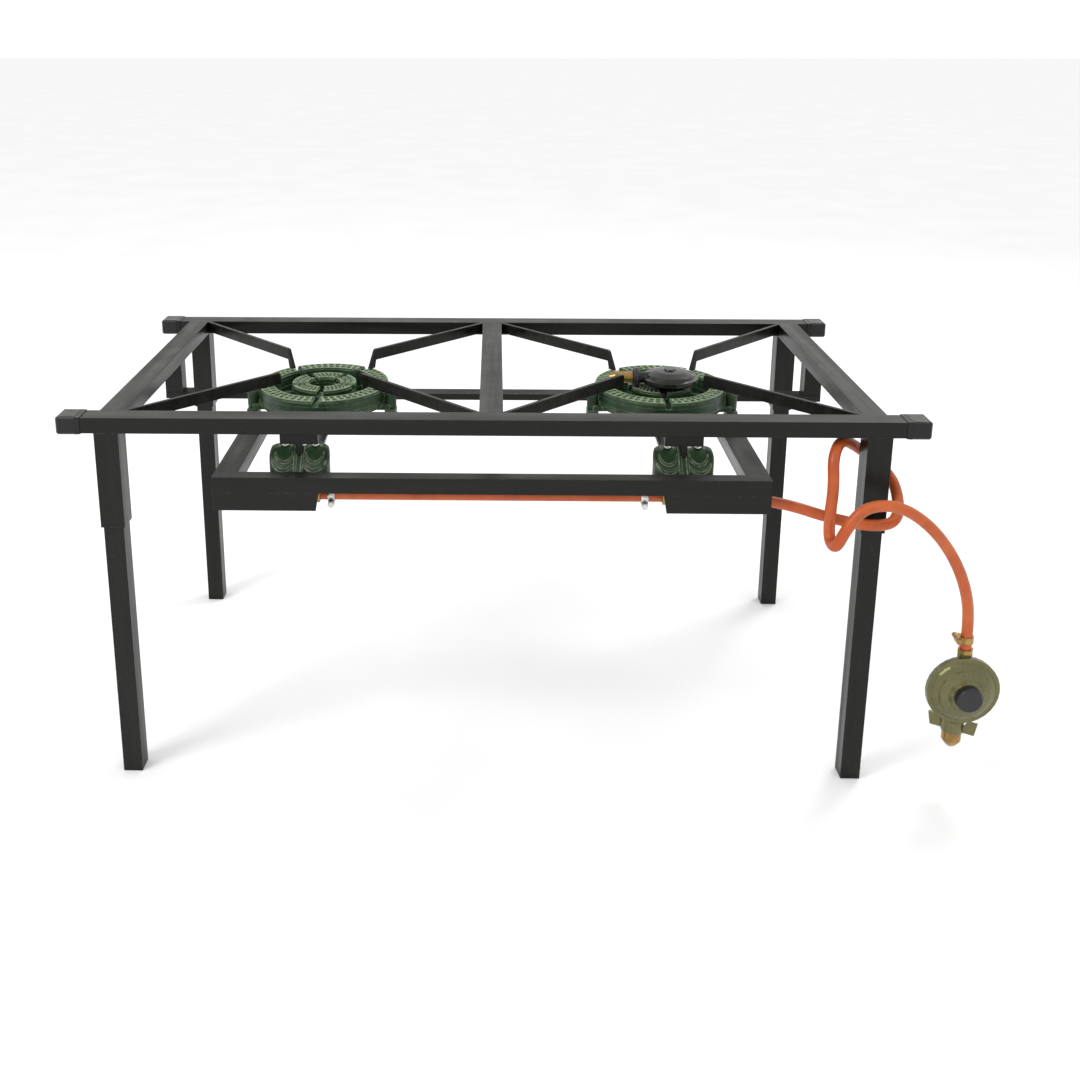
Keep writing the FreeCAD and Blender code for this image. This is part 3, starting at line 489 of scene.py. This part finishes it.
def clamp_on(piece, centre, axis, screw):
    """A worm-drive clamp: slotted band, screw housing and hexagon-headed screw, in its own frame."""
    u = Vector(axis)
    w = Vector(screw)
    v = w.cross(u)
    turn = Matrix((u, v, w)).transposed()
    sub = Piece()
    r = HOSE_RADIUS
    ring = [(r, -4.5), (r + 1.2, -4.5), (r + 1.4, -4.0), (r + 1.4, 4.0), (r + 1.2, 4.5), (r, 4.5)]
    sub.lathe(ring, steps=40, axis="X")
    sub.block((-4.5, -6.5, r + 0.2), (4.5, 6.5, r + 5.0), draft=0.9)
    for i in range(7):
        y = -4.8 + 1.6 * i
        sub.block((-2.6, y - 0.35, r + 4.9), (2.6, y + 0.35, r + 5.5), draft=0.1)
    sub.lathe([(0, -9.0), (2.6, -9.0), (3.0, -8.5), (3.0, 7.0), (0, 7.0)], (0, 0, r + 3.0), "Y", 20)
    sub.hexagon(7.5, 7.0, 11.5, (0, 0, r + 3.0), "Y")
    for i in range(12):
        angle = 30 * i + 15
        if abs(angle - 90) > 50:
            tooth = Vector((0, math.cos(math.radians(angle)), math.sin(math.radians(angle)))) * (r + 1.3)
            sub.block((-2.4, -0.5, -0.1), (2.4, 0.5, 0.35), draft=0.05, at=tooth)
    sub.bm.verts.index_update()
    verts = [turn @ v.co + Vector(centre) for v in sub.bm.verts]
    faces = [tuple(v.index for v in face.verts) for face in sub.bm.faces]
    sub.bm.free()
    piece.add(verts, faces)


def short_hose():
    """The hose between the taps, as a straight tube."""
    low, high = corners("link_hose")
    y = (low.y + high.y) / 2
    z = (low.z + high.z) / 2
    steps = 40
    points = [Vector((low.x + (high.x - low.x) * i / steps, y, z)) for i in range(steps + 1)]
    piece = Piece()
    piece.tube(points, [HOSE_RADIUS] * (steps + 1), 28)
    piece.make("link_hose_round", "orange_rubber", nodes=("link_hose",), bevel=0.6)


def clamps():
    line = middle("link_hose")
    low, high = corners("link_hose")
    clamp = Piece()
    down = (0, 0, -1)
    tap_end = middle("tap_knob_right").x + TAP_REACH
    for x in (low.x + CLAMP_NEAR, high.x - CLAMP_FAR, tap_end + CLAMP_NEAR):
        clamp_on(clamp, (x, line.y, line.z), (1, 0, 0), down)
    clamp.make("hose_clamps_detail", "bright_steel", nodes=("hose_clamps",), bevel=0.12, sharp=40)


# ---- burners -----------------------------------------------------------------------------------

ARMS = (-90, -18, 54, 126, 198)
NOTCH_WIDTH = 7.0
NOTCH_DEPTH = 9.0
SLOT_DEPTH = 2.2
OUTER_WIDTH = 22.0
INNER_WIDTH = 24.0
POST_RING = 64.0
POST_RISE = 21.0
LUG_OFFSET = 97.0
LUG_RISE = 15.0


def ring_head(side, name, width, ridges, ribs):
    """A cast ring head, cut by five notches.

    A ridge is its place across the width and its thickness. A row of ribs is where it starts and ends
    across the width, how many there are between two notches, and their thickness.
    """
    low, high = corners(f"{name}_{side}")
    centre = Vector(((low.x + high.x) / 2, (low.y + high.y) / 2, 0))
    outside = (high.x - low.x) / 2
    inside = outside - width
    floor = high.z - NOTCH_DEPTH
    deck = high.z - SLOT_DEPTH
    piece = Piece()
    piece.lathe([(inside, low.z), (outside, low.z), (outside, floor), (inside, floor)], centre, steps=120)
    half = math.degrees(math.asin(NOTCH_WIDTH / 2 / ((outside + inside) / 2)))
    sweep = 72 - 2 * half
    band = [(inside, floor), (outside, floor), (outside, deck - 1.6), (outside - 1.4, deck),
            (inside + 1.4, deck), (inside, deck - 1.6)]
    for arm in ARMS:
        start = arm + half
        piece.lathe(band, centre, steps=22, start=start, sweep=sweep)
        for part, thick in ridges:
            r0 = inside + part * width - thick / 2
            r1 = r0 + thick
            ridge = [(r0, deck - 0.2), (r1, deck - 0.2), (r1 - 0.5, high.z), (r0 + 0.5, high.z)]
            piece.lathe(ridge, centre, steps=18, start=start + 0.4, sweep=sweep - 0.8)
        for row, (r0, r1, count, thick) in enumerate(ribs):
            shift = 0.25 * (row % 2)
            for i in range(count):
                turn = start + sweep * (i + 0.5 + shift) / (count + shift)
                near = (inside + r0 * width, -thick / 2, deck - 0.2)
                far = (inside + r1 * width, thick / 2, high.z - 0.2)
                piece.block(near, far, 0.5, centre, turn=turn)
    # Painted highlight on the tops of the ridges and ribs, above the deck.
    finish = green_paint(f"ring_green_{name}_{side}", (deck + 0.6, deck + 1.9))
    name = f"{name}_{side}"
    return piece.make(f"{name}_cast", "green_paint", nodes=(name,), finish=finish, sharp=40)


def ring_heads():
    for side in SIDES:
        ring_head(side, "outer_ring", OUTER_WIDTH, ((0.08, 2.2), (0.50, 2.0), (0.92, 2.6)),
                  ((0.10, 0.48, 10, 3.6), (0.52, 0.90, 10, 4.2)))
        ring_head(side, "inner_ring", INNER_WIDTH, ((0.07, 2.0), (0.93, 2.4)),
                  ((0.08, 0.30, 5, 2.6), (0.38, 0.62, 6, 3.0), (0.70, 0.92, 7, 3.2)))


def troughs(piece, centre, big, small, low, top):
    """The two round gas troughs and the floor of the inner one."""
    rim = top - 8.0
    inside = big - OUTER_WIDTH
    piece.lathe([(inside, top), (inside, low + 5), (big - 20, low + 4), (big - 16, low + 4),
                 (big - 13, low + 5), (big - 1, rim - 1), (big, rim + 1), (big, top)], centre, steps=120)
    piece.lathe([(big - 0.2, rim + 2.2), (big + 0.7, rim + 2.8), (big + 0.7, rim + 4.4),
                 (big - 0.2, rim + 5)], centre, steps=120)
    inside = small - INNER_WIDTH
    piece.lathe([(inside, top), (inside, low + 1), (small - 23, low), (small - 6, low), (small - 4, low + 1),
                 (small - 0.5, rim - 1), (small, rim), (small, top)], centre, steps=96)
    piece.lathe([(0, low), (small - 20, low), (small - 20, low + 4), (0, low + 4)], centre, steps=48)


def arms_and_posts(piece, centre, big, small, low, top):
    """Five arms between the troughs, and the two posts on the back ones."""
    for arm in ARMS:
        half = (28.0 if arm == -90 else 14.0) / 2
        outline = [(small - 6, -half), (big - 16, -half - 1.5), (big - 16, half + 1.5), (small - 6, half)]
        piece.prism(outline, low + 4.5, top - 4, centre, turn=arm)
        web = [(small - 3, -2.6), (big - 20, -3.4), (big - 20, 3.4), (small - 3, 2.6)]
        piece.prism(web, top - 4.2, top + 7.5, centre, turn=arm)
    head = top + POST_RISE
    for arm in ARMS[2:4]:
        angle = math.radians(arm)
        at = Vector((POST_RING * math.cos(angle), POST_RING * math.sin(angle), 0)) + Vector(centre)
        post = [(0, top - 8), (5.0, top - 8), (5.0, head - 2), (4.2, head - 0.4), (0, head)]
        piece.lathe(post, at, steps=24)


def side_lug(piece, at, sign, under, top):
    """A bolted lug: boss, ledge, web, tapered foot and pad."""
    rim = top - 8.0
    lug = top + LUG_RISE
    boss = [(4.3, rim - 4), (7.5, rim - 4), (8.0, rim), (8.0, lug - 1), (7.2, lug), (4.3, lug)]
    piece.lathe(boss, at, steps=40)
    near, far = sorted((-sign * 19.0, 0.0))
    piece.block((near, -11, rim - 4), (far, 11, rim + 3), 0.8, at)
    piece.block((near, -3, rim + 2), (far, 3, rim + 9), 1.0, at)
    piece.prism([(-8, under), (8, under), (11, rim - 4), (-11, rim - 4)], -8, 8, at, "X", 0)
    piece.block((-9.5, -9.5, under), (9.5, 9.5, under + 3.0), 1.0, at)


def burner_casting(side):
    """The troughs, arms, lugs and rear foot of one burner."""
    outer = corners(f"outer_ring_{side}")
    core = corners(f"inner_ring_{side}")
    cross = corners("burner_cross_rail")
    rear = corners("rear_cross_bar")
    x = (outer[0].x + outer[1].x) / 2
    centre = (x, (outer[0].y + outer[1].y) / 2, 0)
    top = outer[0].z
    under = cross[1].z
    big = (outer[1].x - outer[0].x) / 2
    small = (core[1].x - core[0].x) / 2
    piece = Piece()
    troughs(piece, centre, big, small, under + 4.0, top)
    arms_and_posts(piece, centre, big, small, under + 4.0, top)
    for sign in (-1, 1):
        at = Vector((x + sign * LUG_OFFSET, (cross[0].y + cross[1].y) / 2, 0))
        side_lug(piece, at, sign, under, top)
    piece.block((-11, 0, under), (11, 19, top - 8.0), 1.0, (x, rear[0].y + 1, 0))
    return piece.make(f"burner_{side}_cast", "green_paint", nodes=(f"burner_body_{side}",), bevel=0.7,
                      sharp=40)


def burner_neck(side):
    """The two mixing tubes under the burner, with the collar that takes the mixer."""
    mixer = corners(f"mixer_{side}")
    outer = corners(f"outer_ring_{side}")
    x = (outer[0].x + outer[1].x) / 2
    y = (outer[0].y + outer[1].y) / 2
    start = mixer[1].y
    end = y - 81.0
    z = corners("burner_cross_rail")[1].z + 10.0
    piece = Piece()
    for sign in (-1, 1):
        quarters = (0, 0.25, 0.5, 0.75, 1.0)
        points = [(x + sign * 12.0, start + (end - start) * t, z + 5.0 * t) for t in quarters]
        piece.tube(points, [12.3, 11.8, 11.8, 12.0, 12.4], 32)
    piece.block((x - 12, start, z - 9), (x + 12, end, z + 8), 0.5)
    piece.block((x - 25, start + 0.2, z - 12.5), (x + 25, start + 5.0, z + 12.8), 0.4)
    # Painted shade: the neck is given black paint where it lies in shade under the front rail; the casting
    # itself is green.
    return piece.make(f"burner_neck_{side}", "black_paint", bevel=0.5, finish=ALONG_Y, sharp=40)


def hood_lobe(piece, centre, r, bottom, slope):
    """One rounded lobe: upright below, then following the slope, with a shallow hollow on top."""
    steps = 26
    rim = [(math.cos(2 * math.pi * i / steps), math.sin(2 * math.pi * i / steps)) for i in range(steps)]
    verts = [(cx * r, cy * r, bottom) for cx, cy in rim]
    for scale, drop in ((1.0, 1.2), (0.94, 0.0), (0.55, -0.5)):
        verts += [(cx * r * scale, cy * r * scale, slope(cy * r * scale) - drop) for cx, cy in rim]
    faces = [tuple(range(3 * steps, 4 * steps)), tuple(range(steps))[::-1]]
    for row in range(3):
        a, b = row * steps, (row + 1) * steps
        faces += [(a + i, a + (i + 1) % steps, b + (i + 1) % steps, b + i) for i in range(steps)]
    piece.add(verts, faces, centre)


def crescent(piece, centre, radius, first, last, thick, push, lift, slope):
    """A tapering ridge on a lobe, from one angle to another."""
    points, radii = [], []
    for i in range(19):
        angle = math.radians(first + (last - first) * i / 18)
        y = radius * math.sin(angle) + push
        points.append(centre + Vector((radius * math.cos(angle), y, slope(y) + lift)))
        radii.append(thick * (0.35 + 0.65 * math.sin(math.pi * i / 18)))
    piece.tube(points, radii, 10)


def mixer_casting(side):
    """The twin hood over the jets: grooved rib, crescent ridges and a sloping front."""
    low, high = corners(f"mixer_{side}")
    x = (low.x + high.x) / 2
    line = (low.y + high.y) / 2
    r = (high.y - low.y) / 2
    roof = high.z - 4.0
    edge = high.y - 10.0
    lip = roof - (edge - low.y)

    def slope(y):
        return min(roof, lip + y + r)

    piece = Piece()
    for sign in (-1, 1):
        centre = Vector((x + sign * r, line, 0))
        hood_lobe(piece, centre, r, low.z, slope)
        crescent(piece, centre, 11.5, 185, 355, 1.7, 3.0, 0.48, slope)
        crescent(piece, centre, 16.0, 205, 335, 1.5, 0.0, 0.32, slope)
    front = low.y + 6
    fill = [(front, low.z), (high.y, low.z), (high.y, roof - 2), (edge, roof - 2), (front, lip + 4)]
    piece.prism(fill, x - r, x + r, axis="X")
    for shift, wide, rise in ((-4.4, 3.8, 3.2), (4.4, 3.2, 3.2), (0.0, 5.6, 0.6)):
        rib = [(low.y, lip - 3), (high.y, lip - 3), (high.y, roof + rise), (edge, roof + rise),
               (low.y, lip + rise)]
        piece.prism(rib, x + shift - wide / 2, x + shift + wide / 2, axis="X")
    # Painted highlight, cream, on the hood's top and ribs above the roof.
    finish = green_paint(f"mixer_green_{side}", (roof + 1.5, roof + 4), (0.46, 0.50, 0.33))
    return piece.make(f"mixer_{side}_cast", "green_paint", nodes=(f"mixer_{side}",), bevel=0.5, sharp=40,
                      finish=finish)


def mixer_fittings(side):
    """Bolts in the hood's pockets, and the brass plate at its foot."""
    low, high = corners(f"mixer_{side}")
    x = (low.x + high.x) / 2
    line = (low.y + high.y) / 2
    r = (high.y - low.y) / 2
    roof = high.z - 4.0
    bolts = Piece()
    for sign in (-1, 1):
        bolts.lathe([(0, roof - 1), (4.6, roof - 1), (4.6, roof + 0.6), (4.2, roof + 1.0), (0, roof + 1.0)],
                    (x + sign * r, line + 10, 0), steps=24)
        bolts.lathe([(0, roof), (2.8, roof), (2.8, roof + 2.2), (2.0, roof + 3.2), (0, roof + 3.4)],
                    (x + sign * r, line + 10, 0), steps=20)
    bolts.hexagon(8.0, 0, 3.4, (x + 6.0, low.y + 22.0, roof + 5.0), "-Y")
    bolts.make(f"mixer_bolts_{side}", "bright_steel", bevel=0.2)
    plate = Piece()
    for sign in (-1, 1):
        plate.lathe([(9.5, low.z + 0.5), (18.6, low.z + 0.5), (18.6, low.z + 3.4), (9.5, low.z + 3.4)],
                    (x + sign * r, line, 0), steps=20, start=196, sweep=148)
    plate.make(f"mixer_plates_{side}", "brass", bevel=0.3)


def burners():
    ring_heads()
    for side in SIDES:
        burner_casting(side)
        burner_neck(side)
        mixer_casting(side)
        mixer_fittings(side)


# ---- stage and camera --------------------------------------------------------------------------

SENSOR = 36.0
PHOTO_PIXELS = 1080
FOCAL_PIXELS = 1181.2
CAMERA_PLACE = (0.00315, -1.6097, 0.9672)
CAMERA_TILT = 0.2519
CAMERA_TURN = 0.0184

def stage():
    """A wide pale floor under an even white studio, with soft lights."""
    mesh = bpy.data.meshes.new("floor")
    bm = bmesh.new()
    bm.faces.new([bm.verts.new((x, y, -0.0005)) for x, y in ((-30, -30), (30, -30), (30, 30), (-30, 30))])
    bm.to_mesh(mesh)
    bm.free()
    floor = bpy.data.objects.new("floor", mesh)
    bpy.context.collection.objects.link(floor)
    n = Nodes("floor_paper")
    tone = n.ramp(n.noise(3, 2), 0.3, 0.7, 0.90, 0.93)
    floor.data.materials.append(n.finish(n.mix(tone, (0.0, 0.0, 0.0), (1.0, 1.0, 1.0)), 0.95, specular=0.0))
    world = bpy.data.worlds.new("studio")
    bpy.context.scene.world = world
    world.use_nodes = True
    world.node_tree.nodes["Background"].inputs[0].default_value = (1.0, 1.0, 1.0, 1.0)
    world.node_tree.nodes["Background"].inputs[1].default_value = 1.02
    softbox("key", (-1.9, -1.5, 2.6), (0.9, 0.9), 34)
    softbox("rim", (1.6, 1.4, 2.4), (0.8, 0.8), 22)


def softbox(name, place, size, power):
    data = bpy.data.lights.new(name, "AREA")
    data.shape = "RECTANGLE"
    data.size, data.size_y = size
    data.energy = power
    lamp = bpy.data.objects.new(name, data)
    lamp.location = place
    lamp.rotation_euler = (Vector((0, 0, 0.4)) - Vector(place)).to_track_quat("-Z", "Y").to_euler()
    lamp.visible_camera = False
    bpy.context.collection.objects.link(lamp)


def camera():
    """The photograph's viewpoint. The vertical shift is held small, so that other views keep the object."""
    data = bpy.data.cameras.new("camera")
    data.sensor_width = SENSOR
    data.lens = FOCAL_PIXELS / PHOTO_PIXELS * SENSOR
    data.shift_x = 0.062
    data.shift_y = -0.2
    cam = bpy.data.objects.new("camera", data)
    cam.location = CAMERA_PLACE
    cam.rotation_euler = (math.pi / 2 - CAMERA_TILT, 0.0, CAMERA_TURN)
    bpy.context.collection.objects.link(cam)
    bpy.context.scene.camera = cam
    bpy.context.scene.view_settings.view_transform = "Standard"


camera()
dress_nodes()
hose, hose_exit = supply_hose()
short_hose()
clamps()
burners()
stage()
